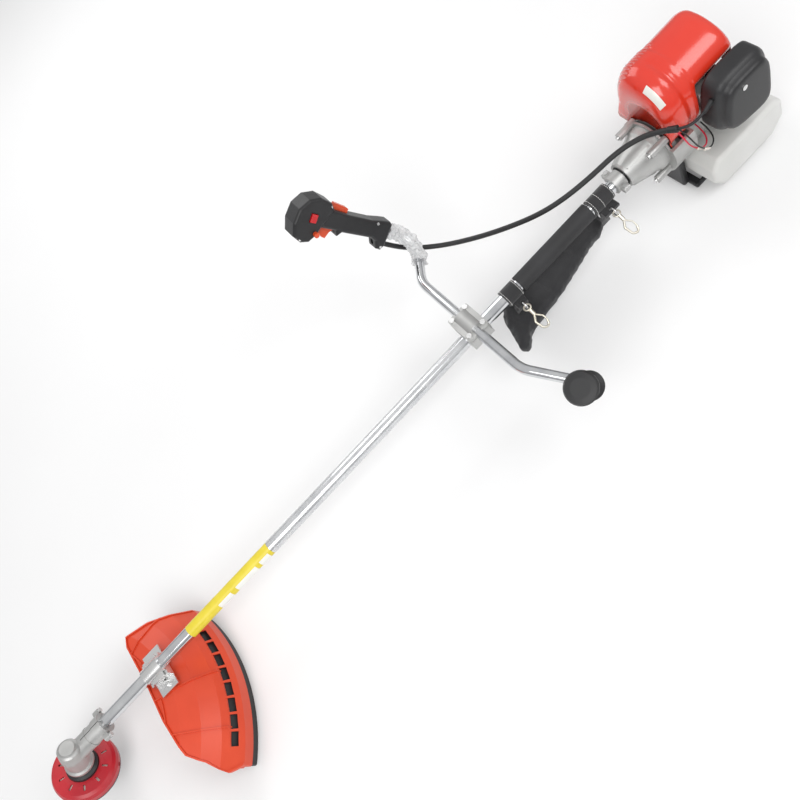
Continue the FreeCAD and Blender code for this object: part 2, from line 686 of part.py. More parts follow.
def engine_cover():
    outer = cover_block(0)
    long_edges = [e for e in outer.Edges if abs(e.tangentAt(e.FirstParameter).x) < 0.1 and e.CenterOfMass.x < -98
                  and e.CenterOfMass.z > 175]
    outer = outer.makeChamfer(12, long_edges)
    shell = outer.cut(shrink(outer, COVER_WALL))
    shell = shell.cut(box(-95, 61, -56, 76, 160, 176))
    shell = shell.cut(on_shaft(-101, -90, 58)).cut(on_shaft(-90, -62, 52))
    shell = shell.cut(box(-30, 61, -70, -9, 160, 284))
    shell = shell.cut(box(-30, 61, -20, 73, 160, 200))
    for k in range(11):
        x = -88 + 5.2 * k
        shell = shell.cut(box(x, x + 2.4, 62, 100, 186 + k, 262))
    for k in range(7):
        slot = box(-80 + 8 * k, -76.5 + 8 * k, 30, 58, 280, 310)
        shell = shell.cut(slot)
    return shell


def starter_housing():
    profile = [(14, 0), (14, 53), (40, 53), (52, 46), (58, 34), (58, 0)]
    shape = turned(profile, V(0, 0, SHAFT_Z), AX, AZ)
    shape = shape.cut(on_shaft(13, 34, 46)).cut(box(10, 60, -60, 60, SHAFT_Z + 43, SHAFT_Z + 60))
    nose = soft_box(40, 66, 22, 52, 130, 150, 3)
    shape = fuse([shape, nose]).cut(cyl(52, 40, 140, AY, 2.2, 30))
    for k in range(8):
        slot = box(50, 60, -2.2, 2.2, SHAFT_Z + 14, SHAFT_Z + 30)
        slot.rotate(V(0, 0, SHAFT_Z), AX, 45 * k + 22)
        shape = shape.cut(slot)
    return shape


def starter_handle():
    grip = soft_box(40, 66, 54, 68, 126, 154, 5)
    rope = cyl(52, 42, 140, AY, 1.8, 14)
    return fuse([grip, rope])


def muffler():
    can = soft_box(-52, 28, 36, 70, 200, 256, 7)
    return can.cut(soft_box(-50, 26, 38, 68, 202, 254, 5)).cut(cyl(CYL_X, 30, 219, AY, 8, 9))


def carburettor():
    body = soft_box(-29.5, 0, -56, -33, 198, 230, 3)
    return body.cut(cyl(CYL_X, -60, 214, AY, 6.5, 30))


def air_filter_cover():
    lower = [V(-40, -58, 176), V(-20, -58, 148), V(60, -58, 136), V(82, -58, 150), V(86, -58, 236), V(70, -58, 264),
             V(-6, -58, 268), V(-28, -58, 252)]
    base = prism(lower, AY * -34)
    cap = prism([V(p.x * 0.86 + 3, -92, (p.z - 204) * 0.86 + 203) for p in lower], AY * -20)
    cap = cap.makeChamfer(7, [e for e in cap.Edges if e.CenterOfMass.y < -111])
    shell = fuse([base, cap])
    room = prism([V(p.x * 0.8 + 5, -56, (p.z - 204) * 0.8 + 204) for p in lower], AY * -46)
    return shell.cut(room)


def choke_lever():
    lever = box(87, 90, -84, -64, 196, 202)
    pivot = cyl(84.5, -68, 199, AX, 2.5, 8)
    return fuse([lever, pivot])


def fuel_tank():
    profile = [V(-62, 0, 40), V(-62, 0, 74), V(-48, 0, 95), V(96, 0, 95), V(112, 0, 80), V(112, 0, 44), V(84, 0, 16),
               V(-44, 0, 14)]
    block = prism([p + V(0, -94, 0) for p in profile], AY * 142)
    block = block.makeFillet(9, block.Edges)
    room = prism([V((p.x - 25) * 0.965 + 25, -91, (p.z - 55) * 0.94 + 55) for p in profile], AY * 136)
    room = room.makeFillet(7, room.Edges)
    neck = cyl(70, 47, 62, AY, 15, 7)
    block = fuse([block, neck])
    return block.cut(room).cut(cyl(70, 40, 62, AY, 12, 20))


def fuel_cap():
    cap = cyl(70, 54.2, 62, AY, 18, 12)
    for k in range(12):
        notch = cyl(70, 54, 80.5, AY, 2, 13)
        notch.rotate(V(70, 0, 62), AY, 30 * k)
        cap = cap.cut(notch)
    return cap


def tank_stand():
    base = soft_box(-70, 84, -50, 52, 0, 11, 4)
    front = soft_box(-80, -66, -27, 27, 2, 96, 4)
    shape = fuse([base, front])
    shape = shape.cut(on_shaft(-90, -40, 62.3))
    for x in (-56, 16):
        shape = shape.cut(box(x, x + 44, -44, 32, -1, 12))
    return shape


def frame_screws():
    screws = []
    for y in (-37, 37):
        for dz in (-37, 37):
            head = cyl(-144, y, SHAFT_Z + dz, AX, 4.2, 4)
            screws.append(head)
    for y in (-28, 28):
        screws.append(cyl(NECK_MOUTH - 15, y, SHAFT_Z, AX, 3, 13).fuse(cyl(NECK_MOUTH - 2, y, SHAFT_Z, AX, 4.8, 4)))
    for y in (-32, 32):
        screws.append(cyl(-1443, y, 118, AZ, 3.2, 16.2).fuse(cyl(-1443, y, 134.2, AZ, 6, 5)))
    for y in (-25, 25):
        screws.append(cyl(-195, y, SHAFT_Z + 5, AZ, 4.2, 4))
    screws += bracket_bolts()
    screws += handle_screws()
    screws.append(cyl(13, -114.5, 240, AY, 5, 3.5))
    return group(screws)


def tube_label():
    return sleeve(-1340, -1118, TUBE_R, TUBE_R + 0.4)


def tube_film():
    return sleeve(-1116, -592, TUBE_R, TUBE_R + 0.6)


handlebar_solid = handlebar()
shell_left, shell_right = throttle_shells()

save(main_tube(), "main_tube")
save(tube_bushings(), "tube_bushings")
save(drive_shaft(), "drive_shaft")
save(clutch_drum(), "clutch_drum")
save(bevel_pinion(), "bevel_pinion")
save(pinion_bearings(), "pinion_bearings")
save(gear_case(), "gear_case")
save(output_gear(), "output_gear")
save(output_shaft(), "output_shaft")
save(output_bearings(), "output_bearings")
save(shaft_cup(), "shaft_cup")
save(line_head_cover(), "line_head_cover")
save(line_spool(), "line_spool")
save(line_head_base(), "line_head_base")
save(bump_knob(), "bump_knob")
save(guard(), "guard")
save(guard_skirt(), "guard_skirt")
save(guard_bracket(), "guard_bracket")
save(tube_label(), "tube_label")
save(tube_film(), "tube_film")
save(foam_sleeve(), "foam_sleeve")
save(harness_bands(), "harness_bands")
save(harness_rings(), "harness_rings")
save(snap_hook(-469), "snap_hook_front")
save(snap_hook(-239), "snap_hook_rear")
save(harness_pad(), "harness_pad")
save(handlebar_solid, "handlebar")
save(bracket_base(), "bracket_base")
save(bracket_cap(), "bracket_cap")
save(left_grip(), "left_grip")
save(bar_film(), "bar_film")
save(shell_left, "throttle_shell_left")
save(shell_right, "throttle_shell_right")
save(throttle_trigger(), "throttle_trigger")
save(throttle_lock(), "throttle_lock")
save(stop_switch(), "stop_switch")
save(start_button(), "start_button")
save(throttle_conduit(), "throttle_conduit")
save(throttle_cable(), "throttle_cable")
save(engine_leads(), "engine_leads")
save(clutch_housing(), "clutch_housing")
save(tube_collar(), "tube_collar")
save(frame_screws(), "frame_screws")
save(clutch_shoes(), "clutch_shoes")
save(crankcase(), "crankcase")
save(crankshaft(), "crankshaft")
save(flywheel(), "flywheel")
save(cylinder(), "cylinder")
save(piston(), "piston")
save(spark_plug(), "spark_plug")
save(engine_cover(), "engine_cover")
save(starter_housing(), "starter_housing")
save(starter_handle(), "starter_handle")
save(muffler(), "muffler")
save(carburettor(), "carburettor")
save(air_filter_cover(), "air_filter_cover")
save(choke_lever(), "choke_lever")
save(fuel_tank(), "fuel_tank")
save(fuel_cap(), "fuel_cap")
save(tank_stand(), "tank_stand")
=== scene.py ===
import math

import bmesh
import bpy
from mathutils import Matrix, Vector, noise


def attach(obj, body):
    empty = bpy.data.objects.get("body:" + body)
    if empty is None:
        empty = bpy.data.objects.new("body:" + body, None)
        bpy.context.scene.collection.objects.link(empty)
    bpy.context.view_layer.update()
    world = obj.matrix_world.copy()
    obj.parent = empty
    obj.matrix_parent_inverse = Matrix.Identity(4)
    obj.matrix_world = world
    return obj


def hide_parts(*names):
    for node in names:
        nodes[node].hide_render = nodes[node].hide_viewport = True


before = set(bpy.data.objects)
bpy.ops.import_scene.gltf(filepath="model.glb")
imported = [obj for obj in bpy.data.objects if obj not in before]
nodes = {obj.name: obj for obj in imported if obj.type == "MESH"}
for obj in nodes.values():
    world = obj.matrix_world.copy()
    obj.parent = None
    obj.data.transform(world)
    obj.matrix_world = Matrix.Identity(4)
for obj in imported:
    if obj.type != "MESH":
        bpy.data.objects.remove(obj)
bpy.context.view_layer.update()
MM = 0.001

# Shaft and camera, metres and degrees
SHAFT_Z = 0.150
TUBE_R = 0.013
CAMERA_AT = Vector((-0.6565, -0.8274, 1.4373))
CAMERA_PITCH = math.radians(56.78)
CAMERA_YAW = math.radians(3.5)
CAMERA_ROLL = math.radians(46.63)
CAMERA_LENS = 37.41


# ---------------------------------------------------------------- materials

def new_material(name):
    material = bpy.data.materials.new(name)
    material.use_nodes = True
    tree = material.node_tree
    shader = tree.nodes["Principled BSDF"]
    coords = tree.nodes.new("ShaderNodeTexCoord")
    return material, tree, shader, coords.outputs["Object"]


def noise_node(tree, vector, scale, detail=4.0, stretch=None):
    texture = tree.nodes.new("ShaderNodeTexNoise")
    texture.inputs["Scale"].default_value = scale
    texture.inputs["Detail"].default_value = detail
    if stretch:
        mapping = tree.nodes.new("ShaderNodeMapping")
        mapping.inputs["Scale"].default_value = stretch
        tree.links.new(vector, mapping.inputs["Vector"])
        vector = mapping.outputs["Vector"]
    tree.links.new(vector, texture.inputs["Vector"])
    return texture.outputs["Fac"]


def ramp_node(tree, factor, stops):
    ramp = tree.nodes.new("ShaderNodeValToRGB")
    elements = ramp.color_ramp.elements
    while len(elements) < len(stops):
        elements.new(0.5)
    for element, (place, colour) in zip(elements, stops):
        element.position = place
        element.color = (*colour, 1.0)
    tree.links.new(factor, ramp.inputs["Fac"])
    return ramp.outputs["Color"]


def range_node(tree, factor, low, high):
    mapped = tree.nodes.new("ShaderNodeMapRange")
    mapped.inputs["To Min"].default_value = low
    mapped.inputs["To Max"].default_value = high
    tree.links.new(factor, mapped.inputs["Value"])
    return mapped.outputs["Result"]


def bump_node(tree, shader, height, strength, distance):
    bump = tree.nodes.new("ShaderNodeBump")
    bump.inputs["Strength"].default_value = strength
    bump.inputs["Distance"].default_value = distance
    tree.links.new(height, bump.inputs["Height"])
    tree.links.new(bump.outputs["Normal"], shader.inputs["Normal"])


def surface(name, colour, colour2, rough=(0.3, 0.45), metal=0.0, grain=900.0, bump=0.15, depth=0.0002,
            patch=14.0, stretch=None, coat=0.0, sheen=0.0, transmission=0.0):
    material, tree, shader, coords = new_material(name)
    patches = noise_node(tree, coords, patch, 3.0)
    tree.links.new(ramp_node(tree, patches, [(0.3, colour), (0.7, colour2)]), shader.inputs["Base Color"])
    fine = noise_node(tree, coords, grain, 5.0, stretch)
    tree.links.new(range_node(tree, patches, *rough), shader.inputs["Roughness"])
    bump_node(tree, shader, fine, bump, depth)
    shader.inputs["Metallic"].default_value = metal
    shader.inputs["Coat Weight"].default_value = coat
    shader.inputs["Coat Roughness"].default_value = 0.12
    shader.inputs["Sheen Weight"].default_value = sheen
    shader.inputs["Transmission Weight"].default_value = transmission
    return material


def weave(name, colour, colour2, pitch=420.0):
    material, tree, shader, coords = new_material(name)
    heights = []
    for direction in ("X", "Y"):
        wave = tree.nodes.new("ShaderNodeTexWave")
        wave.bands_direction = direction
        wave.inputs["Scale"].default_value = pitch
        wave.inputs["Distortion"].default_value = 0.6
        tree.links.new(coords, wave.inputs["Vector"])
        heights.append(wave.outputs["Fac"])
    both = tree.nodes.new("ShaderNodeMath")
    both.operation = "MULTIPLY"
    tree.links.new(heights[0], both.inputs[0])
    tree.links.new(heights[1], both.inputs[1])
    patches = noise_node(tree, coords, 30.0, 4.0)
    tree.links.new(ramp_node(tree, patches, [(0.3, colour), (0.75, colour2)]), shader.inputs["Base Color"])
    tree.links.new(range_node(tree, patches, 0.62, 0.85), shader.inputs["Roughness"])
    bump_node(tree, shader, both.outputs[0], 0.5, 0.0006)
    shader.inputs["Sheen Weight"].default_value = 0.25
    return material


def label_material():
    # yellow wrap with plain white panels along it
    material, tree, shader, coords = new_material("label_yellow")
    split = tree.nodes.new("ShaderNodeSeparateXYZ")
    tree.links.new(coords, split.inputs["Vector"])
    panels = None
    for start, end in ((-1.215, -1.160), (-1.262, -1.228), (-1.150, -1.126)):
        above = tree.nodes.new("ShaderNodeMath")
        above.operation = "GREATER_THAN"
        above.inputs[1].default_value = start
        below = tree.nodes.new("ShaderNodeMath")
        below.operation = "LESS_THAN"
        below.inputs[1].default_value = end
        inside = tree.nodes.new("ShaderNodeMath")
        inside.operation = "MULTIPLY"
        tree.links.new(split.outputs["X"], above.inputs[0])
        tree.links.new(split.outputs["X"], below.inputs[0])
        tree.links.new(above.outputs[0], inside.inputs[0])
        tree.links.new(below.outputs[0], inside.inputs[1])
        if panels is None:
            panels = inside.outputs[0]
        else:
            either = tree.nodes.new("ShaderNodeMath")
            either.operation = "MAXIMUM"
            tree.links.new(panels, either.inputs[0])
            tree.links.new(inside.outputs[0], either.inputs[1])
            panels = either.outputs[0]
    narrow = tree.nodes.new("ShaderNodeMath")
    narrow.operation = "LESS_THAN"
    narrow.inputs[1].default_value = 0.159
    tree.links.new(split.outputs["Z"], narrow.inputs[0])
    shown = tree.nodes.new("ShaderNodeMath")
    shown.operation = "MULTIPLY"
    tree.links.new(panels, shown.inputs[0])
    tree.links.new(narrow.outputs[0], shown.inputs[1])
    patches = noise_node(tree, coords, 40.0)
    yellow = ramp_node(tree, patches, [(0.3, (0.72, 0.58, 0.03)), (0.7, (0.80, 0.66, 0.06))])
    mix = tree.nodes.new("ShaderNodeMix")
    mix.data_type = "RGBA"
    mix.inputs["B"].default_value = (0.86, 0.86, 0.82, 1.0)
    tree.links.new(shown.outputs[0], mix.inputs["Factor"])
    tree.links.new(yellow, mix.inputs["A"])
    tree.links.new(mix.outputs["Result"], shader.inputs["Base Color"])
    tree.links.new(range_node(tree, patches, 0.25, 0.4), shader.inputs["Roughness"])
    bump_node(tree, shader, noise_node(tree, coords, 260.0), 0.08, 0.0002)
    return material


def film_material(name, clear):
    material, tree, shader, coords = new_material(name)
    crinkle = noise_node(tree, coords, 130.0, 7.0)
    tree.links.new(ramp_node(tree, crinkle, [(0.35, (0.82, 0.83, 0.84)), (0.65, (1.0, 1.0, 1.0))]),
                   shader.inputs["Base Color"])
    tree.links.new(range_node(tree, crinkle, 0.08, 0.4), shader.inputs["Roughness"])
    cloudy = noise_node(tree, coords, 70.0, 6.0)
    tree.links.new(range_node(tree, cloudy, *clear), shader.inputs["Alpha"])
    bump_node(tree, shader, crinkle, 0.9, 0.004)
    shader.inputs["Specular IOR Level"].default_value = 0.8
    return material


CHROME = surface("chrome_plate", (0.60, 0.61, 0.63), (0.74, 0.75, 0.76), (0.06, 0.16), 1.0, 400, 0.05, 0.0001,
                 30, (0.15, 1, 1))
STEEL = surface("bare_steel", (0.42, 0.43, 0.45), (0.58, 0.58, 0.60), (0.25, 0.4), 1.0, 1200, 0.15)
ZINC = surface("zinc_plate", (0.66, 0.66, 0.66), (0.80, 0.80, 0.79), (0.2, 0.35), 1.0, 900, 0.1)
CAST = surface("cast_alloy_skin", (0.42, 0.42, 0.41), (0.56, 0.56, 0.55), (0.36, 0.52), 0.75, 1500, 0.35, 0.0004,
               22)
BLACK = surface("black_moulding", (0.012, 0.012, 0.013), (0.022, 0.022, 0.024), (0.34, 0.48), 0.0, 1700, 0.3,
                0.0003)
FOAM = surface("foam_skin", (0.016, 0.016, 0.017), (0.028, 0.028, 0.03), (0.55, 0.72), 0.0, 1300, 0.5, 0.0005)
RUBBER = surface("rubber_skin", (0.010, 0.010, 0.011), (0.02, 0.02, 0.021), (0.4, 0.6), 0.0, 1500, 0.25,
                 0.0003)
GUARD = surface("guard_plastic", (0.62, 0.052, 0.016), (0.72, 0.070, 0.022), (0.3, 0.42), 0.0, 700, 0.12,
                0.0003, 9)
COVER = surface("cover_gloss", (0.66, 0.028, 0.012), (0.74, 0.042, 0.018), (0.14, 0.24), 0.0, 260, 0.05,
                0.0002, 9, coat=0.6)
ACCENT = surface("accent_plastic", (0.68, 0.07, 0.018), (0.78, 0.10, 0.026), (0.28, 0.4), 0.0, 900, 0.15)
RED = surface("red_rocker", (0.5, 0.008, 0.012), (0.62, 0.015, 0.02), (0.2, 0.3), 0.0, 900, 0.1)
HEAD_RED = surface("head_red_skin", (0.42, 0.008, 0.02), (0.55, 0.02, 0.03), (0.28, 0.42), 0.0, 500, 0.1)
HOOK = surface("hook_plate", (0.60, 0.56, 0.46), (0.78, 0.76, 0.70), (0.2, 0.4), 1.0, 900, 0.15)
TANK = surface("tank_skin", (0.78, 0.78, 0.75), (0.90, 0.90, 0.88), (0.35, 0.5), 0.0, 320, 0.15, 0.0006, 8,
               transmission=0.25)
NYLON = surface("nylon_skin", (0.70, 0.68, 0.62), (0.80, 0.78, 0.72), (0.4, 0.5))
WEBBING = weave("black_webbing", (0.012, 0.012, 0.013), (0.03, 0.03, 0.032))
PAD_CLOTH = weave("pad_cloth", (0.010, 0.010, 0.012), (0.026, 0.026, 0.028), 260.0)
STITCH = surface("white_stitch", (0.70, 0.70, 0.68), (0.85, 0.85, 0.83), (0.5, 0.7), 0.0, 2200, 0.4)
LEAD_RED = surface("lead_red_skin", (0.60, 0.01, 0.04), (0.72, 0.02, 0.06), (0.3, 0.45))
PLUG = surface("bullet_plug", (0.72, 0.66, 0.58), (0.85, 0.80, 0.74), (0.25, 0.4), 0.4, 800, 0.2)
PLATE = surface("plain_plate", (0.74, 0.74, 0.68), (0.82, 0.82, 0.77), (0.25, 0.35), 0.1, 700, 0.05)
LABEL = label_material()
TUBE_FILM = film_material("tube_film_skin", (0.10, 0.38))
BAR_FILM = film_material("bar_film_skin", (0.45, 0.85))

SKINS = {
    "main_tube": CHROME, "handlebar": CHROME, "tube_bushings": RUBBER, "drive_shaft": STEEL, "clutch_drum": STEEL,
    "bevel_pinion": STEEL, "pinion_bearings": STEEL, "gear_case": CAST, "output_gear": STEEL, "output_shaft": STEEL,
    "output_bearings": STEEL, "shaft_cup": BLACK, "line_head_cover": HEAD_RED, "line_spool": NYLON,
    "line_head_base": BLACK, "bump_knob": BLACK, "guard": GUARD, "guard_skirt": BLACK, "guard_bracket": ZINC,
    "tube_label": LABEL,
    "foam_sleeve": FOAM, "harness_bands": WEBBING, "harness_rings": ZINC, "snap_hook_front": HOOK,
    "snap_hook_rear": HOOK, "bracket_base": CAST, "bracket_cap": CAST, "left_grip": RUBBER,
    "throttle_shell_left": BLACK, "throttle_shell_right": BLACK, "throttle_trigger": ACCENT, "throttle_lock": ACCENT,
    "stop_switch": RED, "start_button": ACCENT, "clutch_housing": CAST, "tube_collar": CAST,
    "frame_screws": ZINC, "clutch_shoes": STEEL, "crankcase": CAST, "crankshaft": STEEL, "flywheel": CAST,
    "cylinder": CAST, "piston": CAST, "spark_plug": RUBBER, "engine_cover": COVER, "starter_housing": BLACK,
    "starter_handle": BLACK, "muffler": STEEL, "carburettor": CAST, "air_filter_cover": BLACK, "choke_lever": BLACK,
    "fuel_tank": TANK, "fuel_cap": BLACK, "tank_stand": BLACK, "harness_pad": PAD_CLOTH, "tube_film": TUBE_FILM,
    "bar_film": BAR_FILM, "throttle_conduit": RUBBER, "throttle_cable": RUBBER, "engine_leads": LEAD_RED,
}
BEVELLED = ("gear_case", "guard_bracket", "bracket_base", "bracket_cap", "tube_collar", "clutch_housing",
            "crankcase", "starter_housing", "guard", "line_head_cover", "line_head_base", "left_grip",
            "throttle_trigger", "throttle_lock", "stop_switch", "frame_screws", "fuel_cap", "tank_stand",
            "carburettor")
ROUNDED = ("throttle_shell_left", "throttle_shell_right")


def soften_edges(names, width, segments, sharper_than):
    """Round the edges that turn by more than the given angle, in degrees."""
    for name in names:
        bevel = nodes[name].modifiers.new("edge", "BEVEL")
        bevel.width = width
        bevel.segments = segments
        bevel.limit_method = "ANGLE"
        bevel.angle_limit = math.radians(sharper_than)
        bevel.harden_normals = True


for name, skin in SKINS.items():
    node = nodes[name]
    node.data.materials.clear()
    node.data.materials.append(skin)
soften_edges(BEVELLED, 0.0007, 2, 40)
soften_edges(ROUNDED, 0.0018, 4, 28)


# ---------------------------------------------------------------- mesh helpers

def add_mesh(name, mesh, skin, body, stands_for=()):
    piece = bpy.data.objects.new(name, mesh)
    bpy.context.scene.collection.objects.link(piece)
    piece.data.materials.append(skin)
    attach(piece, body)
    if stands_for:
        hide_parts(*stands_for)
    return piece


def smooth(mesh):
    for face in mesh.polygons:
        face.use_smooth = True


def loft(name, rings, closed_ends=True):
    """A mesh through rings of equal point counts."""
    shape = bmesh.new()
    made = [[shape.verts.new(p) for p in ring] for ring in rings]
    count = len(rings[0])
    for low, high in zip(made, made[1:]):
        for k in range(count):
            m = (k + 1) % count
            shape.faces.new((low[k], low[m], high[m], high[k]))
    if closed_ends:
        shape.faces.new(made[0][::-1])
        shape.faces.new(made[-1])
    bmesh.ops.recalc_face_normals(shape, faces=shape.faces)
    mesh = bpy.data.meshes.new(name)
    shape.to_mesh(mesh)
    shape.free()
    smooth(mesh)
    return mesh


def ring_points(centre, across, up, radii, count=40):
    points = []
    for k in range(count):
        angle = 2 * math.pi * k / count
        wide, high = radii[k]
        points.append(centre + across * (wide * math.cos(angle)) + up * (high * math.sin(angle)))
    return points


def nurbs(name, points, radius, skin, body):
    """A round tube along a smooth line; returns the piece and the points of its line."""
    curve = bpy.data.curves.new(name, "CURVE")
    curve.dimensions = "3D"
    spline = curve.splines.new("NURBS")
    spline.points.add(len(points) - 1)
    for point, place in zip(spline.points, points):
        point.co = (*place, 1.0)
    spline.order_u = 3
    spline.use_endpoint_u = True
    curve.resolution_u = 10
    guide = bpy.data.objects.new(name + "_guide", curve)
    bpy.context.scene.collection.objects.link(guide)
    line = bpy.data.meshes.new_from_object(guide)
    route = [tuple(v.co) for v in line.vertices]
    curve.bevel_depth = radius
    curve.bevel_resolution = 6
    curve.use_fill_caps = True
    mesh = bpy.data.meshes.new_from_object(guide)
    bpy.data.objects.remove(guide)
    mesh.name = name
    mesh.materials.clear()
    smooth(mesh)
    return add_mesh(name, mesh, skin, body), route


# ---------------------------------------------------------------- throttle conduit, cable and wires

KNEE = Vector((-0.500, 0.249, 0.158))
GRIP_DIR = Vector((-0.47, 0.145, 0.87)).normalized()
TRIGGER_DIR = Vector((-0.882, -0.077, -0.463)).normalized()


def at(g, t):
    """A point of the handle: g mm along the grip from the knee of the bar, t mm toward the trigger."""
    return KNEE + GRIP_DIR * (g * MM) + TRIGGER_DIR * (t * MM)


CONDUIT = [at(76, 27), at(36, 29), (-0.514, 0.239, 0.142), (-0.474, 0.203, 0.130), (-0.426, 0.156, 0.134),
           (-0.378, 0.108, 0.148), (-0.326, 0.062, 0.166), (-0.278, 0.035, 0.181), (-0.226, 0.019, 0.192),
           (-0.172, 0.008, 0.202), (-0.137, -0.010, 0.211), (-0.112, -0.034, 0.220), (-0.095, -0.066, 0.229)]
CABLE = [(-0.095, -0.066, 0.229), (-0.087, -0.080, 0.233), (-0.071, -0.088, 0.236), (-0.051, -0.087, 0.237),
         (-0.0305, -0.082, 0.236)]
RED_LEAD = [(-0.097, -0.066, 0.226), (-0.095, -0.078, 0.212), (-0.091, -0.082, 0.192),
            (-0.082, -0.082, 0.172), (-0.070, -0.081, 0.154), (-0.055, -0.079, 0.142),
            (-0.041, -0.068, 0.139), (-0.036, -0.053, 0.145), (-0.036, -0.038, 0.152)]
BLACK_LEAD = [(-0.092, -0.066, 0.226), (-0.089, -0.084, 0.212), (-0.084, -0.089, 0.190),
              (-0.075, -0.090, 0.168), (-0.062, -0.088, 0.148), (-0.046, -0.084, 0.134),
              (-0.030, -0.072, 0.130), (-0.024, -0.055, 0.136), (-0.024, -0.038, 0.144)]
PLUG_PLACE = 4


def boot_mesh(start, heading, length, radius0, radius1):
    """A ribbed sleeve that grows from one radius to the other."""
    heading = heading.normalized()
    across = heading.orthogonal().normalized()
    up = heading.cross(across)
    rings = []
    steps = 14
    for k in range(steps + 1):
        f = k / steps
        radius = radius0 + (radius1 - radius0) * f + (0.0004 if k % 2 else 0.0)
        rings.append(ring_points(start + heading * (length * f), across, up, [(radius, radius)] * 28, 28))
    return loft("boot", rings)


conduit, conduit_route = nurbs("conduit_tube", CONDUIT, 0.005, RUBBER, "frame")
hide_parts("throttle_conduit")
cable, cable_route = nurbs("cable_tube", CABLE, 0.0026, RUBBER, "frame")
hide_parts("throttle_cable")
red_lead, red_route = nurbs("lead_red", RED_LEAD, 0.0014, LEAD_RED, "frame")
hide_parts("engine_leads")
black_lead, black_route = nurbs("lead_black", BLACK_LEAD, 0.0014, RUBBER, "frame")
boot_dir = Vector(CABLE[-1]) - Vector(CABLE[-2])
boot = add_mesh("cable_boot", boot_mesh(Vector(CABLE[-1]) - boot_dir.normalized() * 0.024, boot_dir, 0.024,
                                        0.0031, 0.0052), RUBBER, "frame")
cuff_dir = Vector(CONDUIT[-1]) - Vector(CONDUIT[-2])
cuff = add_mesh("conduit_cuff", boot_mesh(Vector(CONDUIT[-1]) - cuff_dir.normalized() * 0.016, cuff_dir, 0.018,
                                          0.0057, 0.0062), RUBBER, "frame")
for number, lead in enumerate((RED_LEAD, BLACK_LEAD)):
    middle = Vector(lead[PLUG_PLACE])
    run = (Vector(lead[PLUG_PLACE + 1]) - Vector(lead[PLUG_PLACE - 1])).normalized()
    plug = boot_mesh(middle - run * 0.010, run, 0.020, 0.0026, 0.0022)
    add_mesh("bullet_plug_%d" % number, plug, PLUG, "frame")


# ---------------------------------------------------------------- clear films

def film_tube(name, path, radius, wrinkle, scale, count=72):
    """A thin crinkled sleeve along a path of points."""
    places = [Vector(p) for p in path]
    rings = []
    travelled = 0.0
    for k, place in enumerate(places):
        before = places[max(k - 1, 0)]
        after = places[min(k + 1, len(places) - 1)]
        heading = (after - before).normalized()
        across = heading.cross(Vector((0.0, 0.0, 1.0)))
        if across.length < 0.2:
            across = heading.cross(Vector((1.0, 0.0, 0.0)))
        across.normalize()
        up = across.cross(heading)
        radii = []
        for m in range(count):
            angle = 2 * math.pi * m / count
            spot = Vector((math.cos(angle) * 0.9, math.sin(angle) * 0.9, travelled * scale))
            lift = abs(noise.noise(spot * 2.1)) * 0.7 + abs(noise.noise(spot * 5.3)) * 0.35
            radii.append((radius + wrinkle * lift, radius + wrinkle * lift))
        rings.append(ring_points(place, across, up, radii, count))
        travelled += (place - before).length
    return loft(name, rings, closed_ends=False)


TUBE_FILM_FROM = -1.116
TUBE_FILM_LENGTH = 0.524
TUBE_FILM_STEPS = 420
film_line = [(TUBE_FILM_FROM + TUBE_FILM_LENGTH * k / TUBE_FILM_STEPS, 0.0, SHAFT_Z)
             for k in range(TUBE_FILM_STEPS + 1)]
add_mesh("tube_wrap", film_tube("tube_wrap", film_line, TUBE_R + 0.0004, 0.0012, 60), TUBE_FILM, "frame",
         ["tube_film"])

# The film on the bar starts on the grip side of the knee, follows its bend and ends on the bar's run
RUN_DIR = (Vector((-0.563, 0.141, 0.181)) - KNEE).normalized()
BEND_R = 0.045
BAR_FILM_FROM = 0.074
BAR_FILM_TO = 0.076
knee_reach = BEND_R * math.tan(GRIP_DIR.angle(RUN_DIR) * -0.5 + math.pi / 2)
arc_start = KNEE + GRIP_DIR * knee_reach
arc_end = KNEE + RUN_DIR * knee_reach
bar_line = []
for k in range(12):
    bar_line.append(KNEE + GRIP_DIR * (BAR_FILM_FROM + (knee_reach - BAR_FILM_FROM) * k / 12))
weight = math.cos(GRIP_DIR.angle(-RUN_DIR) / 2)
for k in range(61):
    f = k / 60
    top = arc_start * (1 - f) ** 2 + KNEE * (2 * f * (1 - f) * weight) + arc_end * f ** 2
    bar_line.append(top / ((1 - f) ** 2 + 2 * f * (1 - f) * weight + f ** 2))
for k in range(1, 14):
    bar_line.append(KNEE + RUN_DIR * (knee_reach + (BAR_FILM_TO - knee_reach) * k / 13))
add_mesh("bar_wrap", film_tube("bar_wrap", bar_line, 0.0108, 0.0125, 30), BAR_FILM, "frame",
         ["bar_film"])


# ---------------------------------------------------------------- engine cover

COVER_FRONT = -0.0988
COVER_REAR = 0.0638
# Outlines across the cover, as y and z in mm
ARCH_FRONT = [(-46, 174), (-54, 192), (-57, 215), (-54, 240), (-43, 264), (-22, 286), (8, 298), (38, 298),
              (62, 284), (77, 256), (83, 222), (83, 196), (79, 174)]
ARCH_REAR = [(-46, 250), (-47, 256), (-45, 263), (-40, 271), (-31, 280), (-18, 288), (0, 294.5), (22, 298),
             (48, 294), (68, 272), (79, 238), (80, 205), (76, 174)]
COVER_CENTRE = Vector((0.012, 0.196))
LIP_R = 0.0535
SILL_Z = 0.2045


